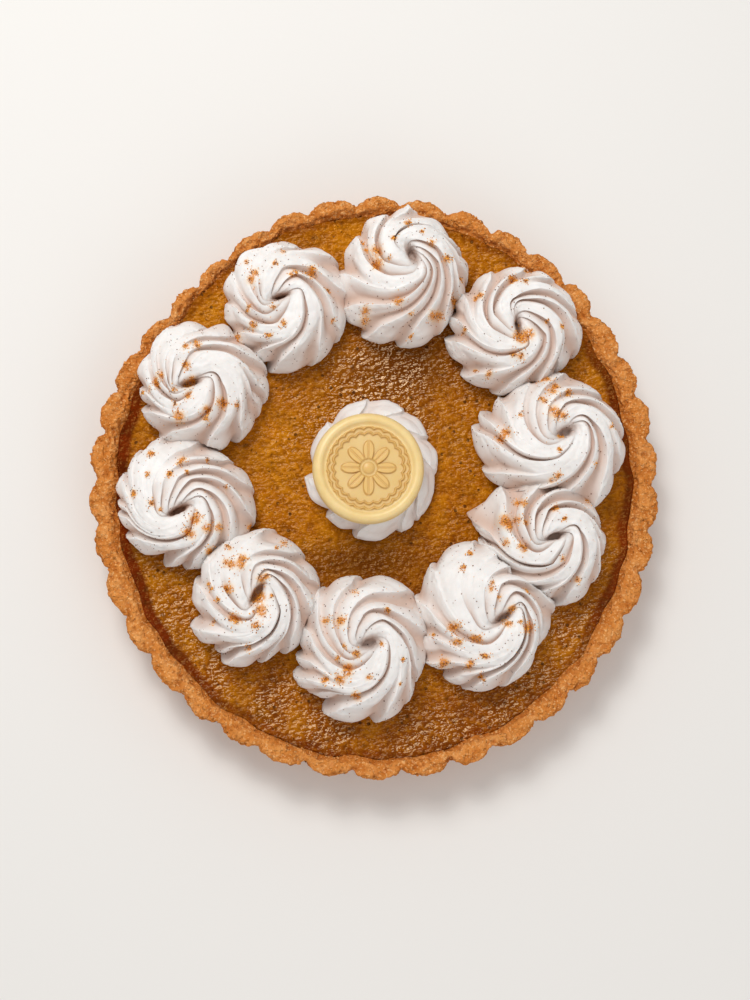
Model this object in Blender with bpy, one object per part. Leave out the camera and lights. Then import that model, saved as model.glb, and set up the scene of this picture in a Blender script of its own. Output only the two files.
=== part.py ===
"""A fluted butterscotch tart with ten piped cream rosettes and a moulded disc.

The crust is a shell with a floor, the set filling fills it, and each swirl of
cream stands on the filling. Units are metres, +Z is up, and the origin is at
the middle of the underside of the crust.
"""

import math
import random

import bmesh
import bpy
from mathutils import Vector

# Crust
OUTER_RADIUS = 0.1306
OUTER_OVALITY = 0.0018
INNER_RADIUS = 0.1188
INNER_OVALITY = 0.0034
RIM_HEIGHT = 0.0300
FLOOR_THICKNESS = 0.0050
WALL_FLARE = 0.0060
FLUTE_COUNT = 38
FLUTE_DEPTH = 0.0034
COLUMNS_PER_FLUTE = 6
FLAT_SIDE_ANGLE = math.radians(135)
FLAT_SIDE_SPREAD = math.radians(24)
FLAT_SIDE_OUTER = 0.0072
FLAT_SIDE_INNER = 0.0036

# Filling
FILLING_LEVEL = 0.0255
FILLING_COLUMNS = 96
FILLING_EDGE_ROUND = 0.0010

# Cream
CREAM_BASE = 0.0258
RIDGE_SHARES = (0.0, 0.35, 0.70, 0.88)
GROOVE_DEPTH = 0.0042
WALL_GROOVE_DEPTH = 0.0018
WALL_TOP_SHARE = 0.62
WALL_BLEND = 0.30
GROOVE_LEAN = 1.8
WALL_GROOVE_LEAN = 2.8
SWIRL_PITCH = 1.70
WALL_PITCH = 0.45
SWIRL_EYE = 0.34
TOP_RIDGES = 8
TOP_GROOVE_SPREAD = (0.75, 1.15)
WALL_GROOVE_SPREAD = (0.4, 1.3)
RAGGED_SIDE = math.radians(215)
RAGGED_SHARE = 0.45
CREST_SHARPNESS = 0.9
GROOVE_DROP = 0.8
FOOT_SHARE = 0.05
OVAL_SHARE = 0.45
FADE_SPAN = 0.35
FADE_LEAST = 0.1
PIT_GROOVE_SHARE = 0.35
TAIL_SPREAD = math.radians(9)
PIT_RADIUS = 0.0016
CUTTER_OVERLAP = 0.002

# Moulded disc
DISC_RADIUS = 0.0246
DISC_THICKNESS = 0.0062
DISC_BORDER = 0.0050
DISC_FACE_SINK = 0.0016
DISC_PLACE = Vector((-0.0050, 0.0037))
DISC_COLUMNS = 56

# Clearance between pieces that touch
GAP = 0.0003

# Height and radius of a rosette's crest line from its edge to its pit,
# as fractions of its height and of its radius
ROSETTE_PROFILE = (
    (0.90, 0.00),
    (1.00, 0.14),
    (1.00, 0.34),
    (0.92, 0.58),
    (0.72, 0.85),
    (0.42, 1.00),
    (0.19, 0.96),
    (0.07, 0.80),
)

# The low swirl under the disc ends in a flat patch that the disc lies on
MOUND_PROFILE = (
    (0.93, 0.00),
    (1.00, 0.22),
    (0.97, 0.50),
    (0.86, 0.80),
    (0.68, 1.00),
)

# One entry for each rosette, in millimetres: its middle, its two half widths,
# its height, where its pit lies from its middle, and its petals. Each petal is
# the angle in degrees where it starts, then how far its corner, its middle and
# its end reach. A tail is its angle and how far it sticks out.
ROSETTES = (
    {"middle": (-43.0, 78.1), "half": (26.0, 29.5), "tall": 26.0, "pit": (-0.7, 0.9),
     "petals": (
         (5, 30.5, 31.0, 31.0), (40, 32.0, 31.5, 28.0), (72, 27.8, 30.2, 27.4), (105, 27.3, 29.5, 27.2),
         (145, 27.0, 28.0, 25.0), (178, 25.0, 26.4, 26.0), (212, 26.0, 27.5, 27.0),
         (238, 27.0, 27.5, 26.2), (262, 29.8, 29.9, 29.1), (300, 29.3, 29.5, 28.4),
         (332, 29.2, 29.4, 29.4),
     )},
    {"middle": (12.2, 91.4), "half": (28.8, 29.6), "tall": 27.5, "pit": (2.0, 8.0),
     "petals": (
         (0, 28.2, 29.6, 26.3), (25, 28.2, 27.5, 25.8), (40, 27.2, 31.0, 31.4), (80, 31.8, 32.6, 30.0),
         (104, 30.5, 31.9, 28.4), (137, 29.3, 29.7, 28.7), (175, 30.0, 31.0, 31.0),
         (205, 31.5, 32.0, 31.1), (236, 32.2, 31.4, 30.1), (268, 30.0, 31.2, 30.0),
         (304, 28.5, 27.0, 26.0), (335, 27.0, 28.0, 27.8),
     )},
    {"middle": (62.7, 69.0), "half": (29.8, 28.6), "tall": 27.0, "pit": (-2.1, -2.2),
     "petals": (
         (14, 28.2, 29.0, 28.3), (52, 28.6, 29.9, 27.8), (79, 28.4, 28.9, 28.5), (112, 28.7, 29.4, 29.0),
         (145, 29.5, 31.0, 31.0), (168, 31.0, 30.6, 30.0), (189, 32.5, 32.1, 32.0),
         (222, 32.4, 31.6, 30.7), (252, 30.5, 30.0, 29.5), (282, 30.4, 30.2, 25.5),
         (314, 25.6, 28.0, 29.2), (341, 29.6, 30.1, 28.0),
     )},
    {"middle": (77.6, 18.6), "half": (31.6, 29.3), "tall": 28.0, "pit": (4.5, 1.7),
     "petals": (
         (5, 33.2, 32.0, 30.0), (39, 30.3, 30.6, 31.0), (75, 31.0, 30.0, 29.0), (108, 28.5, 29.0, 29.8),
         (140, 30.3, 30.0, 29.8), (159, 33.8, 33.7, 33.1), (171, 35.2, 33.9, 32.1),
         (205, 33.0, 32.4, 32.0), (235, 31.5, 31.0, 31.0), (265, 31.5, 33.0, 34.0),
         (300, 35.7, 34.6, 31.0), (338, 33.2, 34.5, 32.0),
     )},
    {"middle": (73.8, -27.7), "half": (28.6, 28.2), "tall": 29.0, "pit": (2.3, 1.6), "tail": (158, 6.5),
     "petals": (
         (17, 27.0, 28.0, 29.5), (50, 29.5, 29.5, 29.0), (85, 29.5, 29.5, 29.5), (125, 31.5, 31.6, 32.4),
         (164, 29.7, 29.4, 27.2), (178, 28.6, 28.0, 27.0), (215, 28.5, 27.5, 27.0),
         (250, 27.5, 28.0, 26.5), (283, 27.9, 29.9, 28.7), (325, 28.0, 27.0, 26.0),
         (352, 27.2, 28.4, 26.6),
     )},
    {"middle": (47.5, -60.1), "half": (29.8, 32.6), "tall": 26.0, "pit": (6.6, -1.4),
     "petals": (
         (6, 31.0, 32.0, 32.0), (40, 32.0, 32.0, 32.0), (70, 33.0, 34.0, 32.4), (97, 33.2, 34.2, 31.9),
         (136, 32.8, 31.4, 31.3), (165, 31.8, 30.0, 29.5), (195, 30.0, 32.0, 33.0),
         (217, 33.0, 31.8, 31.0), (238, 32.2, 33.5, 32.4), (255, 33.0, 33.1, 31.5),
         (285, 31.6, 30.0, 26.5), (332, 26.8, 29.3, 29.7),
     )},
    {"middle": (-8.5, -74.8), "half": (27.5, 31.8), "tall": 28.0, "pit": (3.9, 2.5),
     "petals": (
         (10, 31.0, 32.0, 33.5), (46, 34.2, 34.2, 30.4), (91, 31.8, 32.6, 31.7), (122, 31.5, 29.0, 27.0),
         (155, 27.0, 27.0, 26.4), (186, 27.1, 27.4, 27.5), (202, 30.2, 30.5, 29.8),
         (221, 27.5, 26.9, 26.0), (243, 31.2, 31.8, 28.7), (286, 32.4, 32.9, 31.0),
         (313, 31.2, 29.8, 28.2), (333, 28.7, 29.6, 30.5),
     )},
    {"middle": (-53.0, -52.4), "half": (27.7, 29.8), "tall": 27.0, "pit": (-0.1, 0.8),
     "petals": (
         (10, 27.6, 28.1, 27.0), (43, 27.5, 28.9, 30.3), (78, 30.7, 30.0, 29.6), (105, 29.5, 29.0, 29.0),
         (135, 29.2, 28.6, 27.6), (163, 28.0, 28.1, 26.9), (204, 31.0, 31.1, 28.4),
         (233, 28.6, 28.8, 28.6), (244, 31.6, 31.2, 27.2), (275, 28.0, 26.0, 25.2),
         (299, 27.2, 27.6, 27.5), (335, 27.6, 27.7, 27.6),
     )},
    {"middle": (-84.5, -11.1), "half": (30.6, 28.8), "tall": 26.0, "pit": (-2.8, -5.2),
     "petals": (
         (12, 29.7, 29.4, 26.8), (43, 27.0, 26.9, 27.0), (75, 28.0, 29.5, 30.0), (108, 31.1, 31.1, 30.9),
         (132, 31.0, 30.7, 27.8), (155, 30.2, 31.9, 29.0), (179, 29.5, 29.2, 28.3),
         (189, 29.6, 29.3, 27.5), (210, 29.5, 28.7, 25.6), (254, 28.6, 28.6, 27.4),
         (273, 28.6, 29.0, 29.5), (310, 30.5, 31.4, 30.4), (345, 30.9, 30.4, 30.0),
     )},
    {"middle": (-77.6, 41.2), "half": (28.7, 29.0), "tall": 27.0, "pit": (-5.5, -1.6),
     "petals": (
         (16, 28.8, 28.3, 27.0), (54, 26.0, 29.9, 26.0), (87, 26.0, 30.2, 30.6), (118, 30.5, 30.3, 27.2),
         (149, 28.0, 30.4, 26.7), (183, 27.8, 28.7, 28.2), (203, 29.0, 29.3, 29.6),
         (232, 29.6, 29.2, 28.5), (270, 29.2, 29.8, 27.0), (305, 28.8, 28.1, 27.1),
         (335, 27.2, 27.0, 26.3), (351, 28.2, 29.0, 28.4),
     )},
)

MOUND = {
    "middle": (-1.9, 4.7), "half": (29.5, 31.9), "tall": 13.0, "pit": (0.0, 0.0),
    "petals": (
        (0, 28.4, 30.0, 28.0), (33, 29.2, 31.3, 30.3), (65, 31.2, 32.8, 32.0), (95, 32.3, 31.6, 28.2),
        (134, 29.8, 29.7, 26.0), (187, 30.8, 30.8, 27.2), (226, 29.6, 30.4, 28.2), (256, 31.2, 31.9, 29.0),
        (296, 30.2, 30.9, 29.0), (313, 29.8, 29.1, 27.8),
    ),
}
MOUND_SEED = 31

# Where two rosettes press together: the one that gives way, then the one that
# keeps its shape, counted from 1
PRESSED_PAIRS = ((1, 2), (2, 3), (3, 4), (4, 5), (6, 5), (6, 7), (8, 7), (9, 8), (10, 9), (10, 1))

MATERIALS = {
    "crust": ((0.68, 0.31, 0.10, 1.0), 0.85),
    "filling": ((0.38, 0.13, 0.02, 1.0), 0.35),
    "cream": ((0.86, 0.80, 0.77, 1.0), 0.55),
    "disc": ((0.85, 0.67, 0.28, 1.0), 0.40),
}


def clear_scene():
    """Remove every object that the file opened with."""
    for obj in list(bpy.data.objects):
        bpy.data.objects.remove(obj, do_unlink=True)


def make_material(name):
    """A Principled material with the colour and roughness listed above."""
    colour, roughness = MATERIALS[name]
    material = bpy.data.materials.new(name)
    material.use_nodes = True
    shader = material.node_tree.nodes["Principled BSDF"]
    shader.inputs["Base Color"].default_value = colour
    shader.inputs["Roughness"].default_value = roughness
    shader.inputs["Metallic"].default_value = 0.0
    return material


def make_object(name, mesh_builder, material):
    """A new object from a filled bmesh, with all faces turned outwards."""
    bmesh.ops.recalc_face_normals(mesh_builder, faces=mesh_builder.faces)
    bmesh.ops.triangulate(mesh_builder, faces=mesh_builder.faces)
    mesh = bpy.data.meshes.new(name)
    mesh_builder.to_mesh(mesh)
    mesh_builder.free()
    mesh.materials.append(material)
    mesh.shade_smooth()
    mesh.set_sharp_from_angle(angle=math.radians(40))
    obj = bpy.data.objects.new(name, mesh)
    bpy.context.scene.collection.objects.link(obj)
    return obj


def bridge_rings(builder, rings):
    """Join each ring of vertices to the next one with quads."""
    for lower, upper in zip(rings, rings[1:]):
        count = len(lower)
        for i in range(count):
            j = (i + 1) % count
            builder.faces.new((lower[i], lower[j], upper[j], upper[i]))


def close_ring(builder, ring, middle):
    """Fill a ring with a fan of triangles round a middle point."""
    hub = builder.verts.new(middle)
    count = len(ring)
    for i in range(count):
        builder.faces.new((ring[i], ring[(i + 1) % count], hub))


def oval_radius(angle, radius, ovality, flat_side):
    """Radius of a slightly oval outline with one flattened side."""
    offset = math.remainder(angle - FLAT_SIDE_ANGLE, math.tau)
    flattening = flat_side * math.exp(-(offset / FLAT_SIDE_SPREAD) ** 2)
    return radius - ovality * math.cos(2 * angle) - flattening


def outer_radius(angle):
    return oval_radius(angle, OUTER_RADIUS, OUTER_OVALITY, FLAT_SIDE_OUTER)


def inner_radius(angle):
    return oval_radius(angle, INNER_RADIUS, INNER_OVALITY, FLAT_SIDE_INNER)


def wall_radius(angle, height):
    """Radius of the crust's inner wall, which leans outwards as it rises."""
    share = (height - FLOOR_THICKNESS) / (FILLING_LEVEL - FLOOR_THICKNESS)
    return inner_radius(angle) - WALL_FLARE * (1 - min(share, 1.0))


def crust_columns():
    """Angle, lobe fraction and rim lift of every column round the crust."""
    draw = random.Random(38)
    columns = []
    pitch = math.tau / FLUTE_COUNT
    notches = [(i + draw.uniform(-0.07, 0.07)) * pitch for i in range(FLUTE_COUNT)]
    notches.append(notches[0] + math.tau)
    for start, end in zip(notches, notches[1:]):
        strength = draw.uniform(0.8, 1.15)
        lift = draw.uniform(-0.0007, 0.0007)
        for step in range(COLUMNS_PER_FLUTE):
            share = step / COLUMNS_PER_FLUTE
            angle = start + share * (end - start)
            lobe = math.sin(math.pi * share) ** 0.8
            columns.append((angle, strength * (1 - lobe), lift * lobe))
    return columns


def crust_ring(builder, columns, wall_share, height, inset, flute_share):
    """One ring of the crust, from wall_share 0 outside to 1 inside."""
    ring = []
    for angle, notch, lift in columns:
        radius = outer_radius(angle) * (1 - wall_share) + inner_radius(angle) * wall_share
        radius -= inset + FLUTE_DEPTH * notch * flute_share
        rise = (lift - 0.25 * FLUTE_DEPTH * notch) * (height / RIM_HEIGHT) ** 4
        if wall_share > 0.95 or height == 0:
            rise = 0
        ring.append(builder.verts.new((radius * math.cos(angle), radius * math.sin(angle), height + rise)))
    return ring


def build_crust(material):
    """Fluted shell with a floor, leaning walls and a rounded, uneven rim."""
    columns = crust_columns()
    builder = bmesh.new()
    rings = [
        crust_ring(builder, columns, 0.00, 0.0, WALL_FLARE, 1.0),
        crust_ring(builder, columns, 0.00, 0.84 * RIM_HEIGHT, 0.0004, 1.0),
        crust_ring(builder, columns, 0.08, 0.96 * RIM_HEIGHT, 0.0, 0.9),
        crust_ring(builder, columns, 0.38, RIM_HEIGHT, 0.0, 0.6),
        crust_ring(builder, columns, 0.74, 0.97 * RIM_HEIGHT, 0.0, 0.35),
        crust_ring(builder, columns, 1.00, FILLING_LEVEL, 0.0, 0.0),
        crust_ring(builder, columns, 1.00, FLOOR_THICKNESS, WALL_FLARE, 0.0),
    ]
    bridge_rings(builder, rings)
    close_ring(builder, rings[0], (0, 0, 0))
    close_ring(builder, rings[-1], (0, 0, FLOOR_THICKNESS))
    return make_object("crust", builder, material)


def filling_ring(builder, height, inset):
    ring = []
    for step in range(FILLING_COLUMNS):
        angle = step * math.tau / FILLING_COLUMNS
        radius = wall_radius(angle, height) - GAP - inset
        ring.append(builder.verts.new((radius * math.cos(angle), radius * math.sin(angle), height)))
    return ring


def build_filling(material):
    """Set filling, level on top and a gap clear of the crust all round."""
    builder = bmesh.new()
    rings = [
        filling_ring(builder, FLOOR_THICKNESS + GAP, 0.0),
        filling_ring(builder, FILLING_LEVEL - FILLING_EDGE_ROUND, 0.0),
        filling_ring(builder, FILLING_LEVEL, FILLING_EDGE_ROUND),
    ]
    bridge_rings(builder, rings)
    close_ring(builder, rings[0], (0, 0, FLOOR_THICKNESS + GAP))
    close_ring(builder, rings[-1], (0, 0, FILLING_LEVEL))
    return make_object("filling", builder, material)


def swirl_turns(profile, size, tall):
    """How far the ridges have turned at each step, counted from the widest one.

    They cross each ring at a steady slant, turn no faster inside the eye, and
    run almost straight down the outer wall.
    """
    turns = [0.0]
    for (inner_share, inner_height), (outer_share, outer_height) in zip(profile[::-1], profile[::-1][1:]):
        run = math.hypot((outer_share - inner_share) * size, (outer_height - inner_height) * tall)
        radius = max((inner_share + outer_share) / 2, SWIRL_EYE) * size
        pitch = WALL_PITCH if outer_height < inner_height < 0.9 else SWIRL_PITCH
        turns.append(turns[-1] - pitch * run / radius)
    turns.reverse()
    widest = max(range(len(profile)), key=lambda step: profile[step][0])
    return [turn - turns[widest] for turn in turns]


def petal_reach(petal, next_petal, share):
    """How far a petal reaches at a share of its width, 0 at its corner."""
    _, corner, middle, end = petal
    if share < 0.5:
        return corner + (middle - corner) * 2 * share
    if share < RIDGE_SHARES[-1]:
        return middle + (end - middle) * (share - 0.5) / (RIDGE_SHARES[-1] - 0.5)
    return end + (next_petal[1] - end) * (share - RIDGE_SHARES[-1]) / (1 - RIDGE_SHARES[-1])


def ridge_plan(petals, seed):
    """Strength of each ridge's groove on the top and on the wall.

    The narrowest petals fade out on the way up, so that fewer ridges reach the
    pit than the foot has petals.
    """
    draw = random.Random(seed)
    count = len(petals)
    strengths = [draw.uniform(*TOP_GROOVE_SPREAD) for _ in range(count)]
    notches = [draw.uniform(*WALL_GROOVE_SPREAD) for _ in range(count)]
    widths = [(petals[(i + 1) % count][0] - petals[i][0]) % 360 for i in range(count)]
    narrow = sorted(range(count), key=lambda i: widths[i])[:max(count - TOP_RIDGES, 0)]
    return strengths, notches, narrow


def ridge_depth(share, lean):
    """Groove fraction: 0 on the sharp crest, deepest just under the next crest."""
    return math.sin(math.pi * share ** lean) ** CREST_SHARPNESS


def wall_fraction(radius_share, height_share):
    """1 on the outer wall of a swirl, 0 on its top."""
    if radius_share < 0.5:
        return 0.0
    return min(max((WALL_TOP_SHARE - height_share) / WALL_BLEND, 0.0), 1.0)


def tail_reach(spec, angle, height_share):
    """Extra reach of a pulled tail of cream, near the foot of a rosette."""
    if "tail" not in spec:
        return 0.0
    tail_angle, length = spec["tail"]
    offset = math.remainder(angle - math.radians(tail_angle), math.tau)
    return 0.001 * length * math.exp(-(offset / TAIL_SPREAD) ** 2) * max(0.0, 1 - 1.6 * height_share)


def oval_reach(half_x, half_y, angle):
    return 1 / math.hypot(math.cos(angle) / half_x, math.sin(angle) / half_y)


def inside_crust(x, y, height):
    """Hold a point clear of the crust's wall below its rim."""
    distance = math.hypot(x, y)
    limit = wall_radius(math.atan2(y, x), FILLING_LEVEL) - 2 * GAP
    if height > RIM_HEIGHT + 4 * GAP or distance < limit:
        return x, y
    return x * limit / distance, y * limit / distance


def swirl_rings(builder, spec, seed, profile, grooved, grow):
    """Rings of a piped swirl; grow makes it larger all round."""
    half_x, half_y = (0.001 * value for value in spec["half"])
    tall = 0.001 * spec["tall"]
    petals = spec["petals"]
    turns = swirl_turns(profile, (half_x + half_y) / 2, tall)
    strengths, notches, narrow = ridge_plan(petals, seed)
    count = len(petals)
    rings = []
    for (radius_share, height_share), turn in zip(profile, turns):
        slope = 1 - radius_share
        middle_x = 0.001 * (spec["middle"][0] + slope * spec["pit"][0])
        middle_y = 0.001 * (spec["middle"][1] + slope * spec["pit"][1])
        on_wall = wall_fraction(radius_share, height_share)
        lean = GROOVE_LEAN + (WALL_GROOVE_LEAN - GROOVE_LEAN) * on_wall
        petalled = min(max((radius_share - OVAL_SHARE) / OVAL_SHARE, 0.0), 1.0)
        fading = min(max((radius_share - OVAL_SHARE) / FADE_SPAN, FADE_LEAST), 1.0)
        ring = []
        for ridge in range(count):
            after = (ridge + 1) % count
            start = petals[ridge][0]
            width = (petals[after][0] - start) % 360
            for share in RIDGE_SHARES:
                angle = math.radians(start + share * width) + turn
                strength = strengths[ridge] * (1 - share) + strengths[after] * share
                if after in narrow:
                    strength *= fading
                top_depth = GROOVE_DEPTH * min(1.0, 1.9 * radius_share) * strength
                ragged = 1 + RAGGED_SHARE * math.cos(angle - RAGGED_SIDE) * radius_share
                wall_depth = WALL_GROOVE_DEPTH * ragged * notches[after]
                depth = grooved * (top_depth * (1 - on_wall) + wall_depth * on_wall)
                groove = depth * ridge_depth(share, lean)
                oval = oval_reach(half_x, half_y, angle)
                petal = 0.001 * petal_reach(petals[ridge], petals[after], share)
                wide = radius_share * (oval + (petal - oval) * petalled)
                inward = groove * (PIT_GROOVE_SHARE + (1 - PIT_GROOVE_SHARE) * radius_share)
                reach = wide + tail_reach(spec, angle, height_share) - inward
                reach = max(reach + grow, PIT_RADIUS)
                x = middle_x + math.cos(angle) * reach
                y = middle_y + math.sin(angle) * reach
                above_foot = height_share > FOOT_SHARE
                drop = above_foot * groove * GROOVE_DROP * (1 - radius_share ** 4)
                height = CREAM_BASE + height_share * tall - drop + grow * above_foot
                if not grow:
                    x, y = inside_crust(x, y, height)
                ring.append(builder.verts.new((x, y, height)))
        rings.append(ring)
    return rings


def build_swirl(name, spec, seed, profile, material, grooved=1.0, grow=0.0):
    """A piped swirl of cream, or a smooth, larger copy of one."""
    builder = bmesh.new()
    rings = swirl_rings(builder, spec, seed, profile, grooved, grow)
    if grow:
        for vertex in rings[0]:
            vertex.co.z -= CUTTER_OVERLAP
    bridge_rings(builder, rings)
    foot_height = rings[0][0].co.z
    top = sum((vertex.co for vertex in rings[-1]), Vector()) / len(rings[-1])
    close_ring(builder, rings[0], (0.001 * spec["middle"][0], 0.001 * spec["middle"][1], foot_height))
    close_ring(builder, rings[-1], top)
    return make_object(name, builder, material)


def press_together(rosettes, material):
    """Cut each rosette that gives way by the envelope of its neighbour."""
    for lower, upper in PRESSED_PAIRS:
        cutter = build_swirl(f"envelope_{lower:02d}_{upper:02d}", ROSETTES[upper - 1], upper,
                             ROSETTE_PROFILE, material, grooved=0.0, grow=2 * GAP)
        cutter.hide_render = True
        cutter.display_type = "WIRE"
        cut = rosettes[lower - 1].modifiers.new("pressed", "BOOLEAN")
        cut.operation = "DIFFERENCE"
        cut.object = cutter


def disc_ring(builder, radius, height):
    ring = []
    for step in range(DISC_COLUMNS):
        angle = step * math.tau / DISC_COLUMNS
        ring.append(builder.verts.new((radius * math.cos(angle), radius * math.sin(angle), height)))
    return ring


def build_disc(material):
    """Moulded disc with a raised, rounded border round a sunken face."""
    builder = bmesh.new()
    face = DISC_THICKNESS - DISC_FACE_SINK
    inside = DISC_RADIUS - DISC_BORDER
    rings = [
        disc_ring(builder, DISC_RADIUS - 0.0008, 0.0),
        disc_ring(builder, DISC_RADIUS, 0.30 * DISC_THICKNESS),
        disc_ring(builder, DISC_RADIUS - 0.0008, 0.82 * DISC_THICKNESS),
        disc_ring(builder, DISC_RADIUS - 0.0026, DISC_THICKNESS),
        disc_ring(builder, inside + 0.0008, 0.93 * DISC_THICKNESS),
        disc_ring(builder, inside, face),
    ]
    bridge_rings(builder, rings)
    close_ring(builder, rings[0], (0, 0, 0))
    close_ring(builder, rings[-1], (0, 0, face))
    disc = make_object("moulded_disc", builder, material)
    disc.location = (DISC_PLACE.x, DISC_PLACE.y, CREAM_BASE + 0.001 * MOUND["tall"] + 2 * GAP)
    return disc


def build_tart():
    clear_scene()
    cream = make_material("cream")
    build_crust(make_material("crust"))
    build_filling(make_material("filling"))
    rosettes = [
        build_swirl(f"rosette_{number:02d}", spec, number, ROSETTE_PROFILE, cream)
        for number, spec in enumerate(ROSETTES, start=1)
    ]
    press_together(rosettes, cream)
    build_swirl("centre_swirl", MOUND, MOUND_SEED, MOUND_PROFILE, cream)
    build_disc(make_material("disc"))


build_tart()
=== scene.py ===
import math
import random

import bpy
import numpy as np
from mathutils import Matrix, Vector, noise


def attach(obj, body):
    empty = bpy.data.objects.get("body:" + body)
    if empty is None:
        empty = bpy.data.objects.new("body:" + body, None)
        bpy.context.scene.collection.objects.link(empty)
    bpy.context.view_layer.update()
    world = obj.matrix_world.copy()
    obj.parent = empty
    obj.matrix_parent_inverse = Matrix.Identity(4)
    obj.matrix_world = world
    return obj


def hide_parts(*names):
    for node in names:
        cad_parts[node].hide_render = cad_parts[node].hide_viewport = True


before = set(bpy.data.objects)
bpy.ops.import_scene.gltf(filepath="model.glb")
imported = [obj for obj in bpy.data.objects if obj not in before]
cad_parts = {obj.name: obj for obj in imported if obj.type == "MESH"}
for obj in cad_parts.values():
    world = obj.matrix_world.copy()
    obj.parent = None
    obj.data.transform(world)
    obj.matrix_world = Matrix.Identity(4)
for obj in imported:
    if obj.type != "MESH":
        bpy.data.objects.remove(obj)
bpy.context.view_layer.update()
mm = 0.001
fullTurn = math.tau
print("frame loaded:", len(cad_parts), "solids")


def deselectAll():
    bpy.ops.object.select_all(action="DESELECT")


def addGrid(name, columns, rows):
    # a flat unit grid, to be wrapped round a piece, with every point's share across and its row
    deselectAll()
    bpy.ops.mesh.primitive_grid_add(x_subdivisions=columns, y_subdivisions=rows, size=1, location=(0, 0, 0))
    piece = bpy.context.object
    piece.name = name
    piece.data.name = name
    flat = readPoints(piece) + 0.5
    return piece, flat[:, 0], np.rint(flat[:, 1] * rows).astype(int)


def readValues(items, name, width=3):
    values = np.empty(len(items) * width)
    items.foreach_get(name, values)
    return values.reshape(-1, width)


def readPoints(piece):
    return readValues(piece.data.vertices, "co")


def writePoints(piece, points):
    piece.data.vertices.foreach_set("co", np.ascontiguousarray(points, dtype=np.float32).ravel())
    piece.data.update()


def paint(piece, name, values):
    # one number for each point, which the material reads
    layer = piece.data.attributes.new(name, "FLOAT", "POINT")
    layer.data.foreach_set("value", np.clip(values, 0, 1).astype(np.float32))


def editPiece(piece):
    deselectAll()
    bpy.context.view_layer.objects.active = piece
    piece.select_set(True)
    bpy.ops.object.mode_set(mode="EDIT")
    bpy.ops.mesh.select_all(action="DESELECT")


def faceOutwards():
    bpy.ops.mesh.select_all(action="SELECT")
    bpy.ops.mesh.normals_make_consistent(inside=False)
    bpy.ops.object.mode_set(mode="OBJECT")
    bpy.ops.object.shade_smooth()


def closeSeams(piece):
    # joins the grid's two ends and its poles
    editPiece(piece)
    bpy.ops.mesh.select_all(action="SELECT")
    bpy.ops.mesh.remove_doubles(threshold=0.0000015)
    faceOutwards()


def finishPiece(piece, material, slotName, *nodes):
    piece.data.materials.clear()
    piece.data.materials.append(material)
    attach(piece, "root")
    if nodes:
        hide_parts(*nodes)


def pointsRound(middle, angle, radius, height):
    return np.column_stack([middle[0] + radius * np.cos(angle), middle[1] + radius * np.sin(angle), height])


def pushPoints(points, angle, outwards, upwards):
    points[:, 0] += np.cos(angle) * outwards
    points[:, 1] += np.sin(angle) * outwards
    points[:, 2] += upwards


def lumps(points, size, seed):
    # smooth noise from -1 to 1 whose lumps are about size across
    shift = Vector((seed * 7.31, seed * -3.17, seed * 5.73))
    return np.array([noise.noise(Vector(p) + shift) for p in (points / size)])


def smoothCurve(corners, count):
    # a Catmull-Rom curve through the corners, in steps of equal length
    corners = np.array(corners, float)
    padded = np.vstack([2 * corners[0] - corners[1], corners, 2 * corners[-1] - corners[-2]])
    fine = []
    for i in range(len(corners) - 1):
        a, b, c, d = padded[i:i + 4]
        for t in np.linspace(0, 1, 24, endpoint=False):
            fine.append(0.5 * (2 * b + (c - a) * t + (2 * a - 5 * b + 4 * c - d) * t * t
                               + (3 * b - a - 3 * c + d) * t ** 3))
    fine.append(corners[-1])
    fine = np.array(fine)
    length = np.concatenate([[0], np.cumsum(np.hypot(*np.diff(fine, axis=0).T))])
    steps = np.linspace(0, length[-1], count)
    return np.column_stack([np.interp(steps, length, fine[:, k]) for k in range(2)])


def angleGap(a, b):
    return (a - b + math.pi) % fullTurn - math.pi


def bellAt(angle, side, spread):
    # 1 at one side of a circle, fading away over the spread, both in degrees
    return np.exp(-(angleGap(angle, math.radians(side)) / math.radians(spread)) ** 2)


def ramp(value, start, width):
    # 0 up to the start, then rising to 1 over the width, or the other way round where the width is negative
    return np.clip((value - start) / width, 0, 1)


def setUp(node, settings):
    for key, value in settings.items():
        if key in node.inputs:
            node.inputs[key].default_value = value
        else:
            setattr(node, key, value)
    return node


def addNode(tree, kind, **settings):
    return setUp(tree.nodes.new(kind), settings)


# light sinks a few millimetres into cream and chocolate
softLight = {"Subsurface Weight": 0.25, "Subsurface Scale": 0.003}


def newMaterial(name, settings):
    material = bpy.data.materials.new(name)
    material.use_nodes = True
    shader = setUp(material.node_tree.nodes["Principled BSDF"], settings)
    return material, material.node_tree, shader


def link(source, socket):
    # a socket takes a number, a colour or another node's output
    if isinstance(source, (int, float)):
        socket.default_value = source
    elif isinstance(source, tuple):
        socket.default_value = (*source, 1)
    else:
        source.id_data.links.new(source, socket)


def objectCoords(tree):
    return addNode(tree, "ShaderNodeTexCoord").outputs["Object"]


def attributeOf(tree, name):
    return addNode(tree, "ShaderNodeAttribute", attribute_name=name).outputs["Fac"]


def noiseOf(coords, scale, detail=4, roughness=0.6):
    node = addNode(coords.id_data, "ShaderNodeTexNoise", Scale=scale, Detail=detail, Roughness=roughness)
    link(coords, node.inputs["Vector"])
    return node.outputs["Fac"]


def rampOf(value, *stops):
    node = addNode(value.id_data, "ShaderNodeValToRGB")
    elements = node.color_ramp.elements
    while len(elements) < len(stops):
        elements.new(0.5)
    for element, (place, colour) in zip(elements, stops):
        element.position = place
        element.color = (*colour, 1)
    link(value, node.inputs["Fac"])
    return node.outputs["Color"]


def maskOf(value, low, high):
    node = addNode(value.id_data, "ShaderNodeMapRange", **{"From Min": low, "From Max": high})
    link(value, node.inputs["Value"])
    return node.outputs["Result"]


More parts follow.
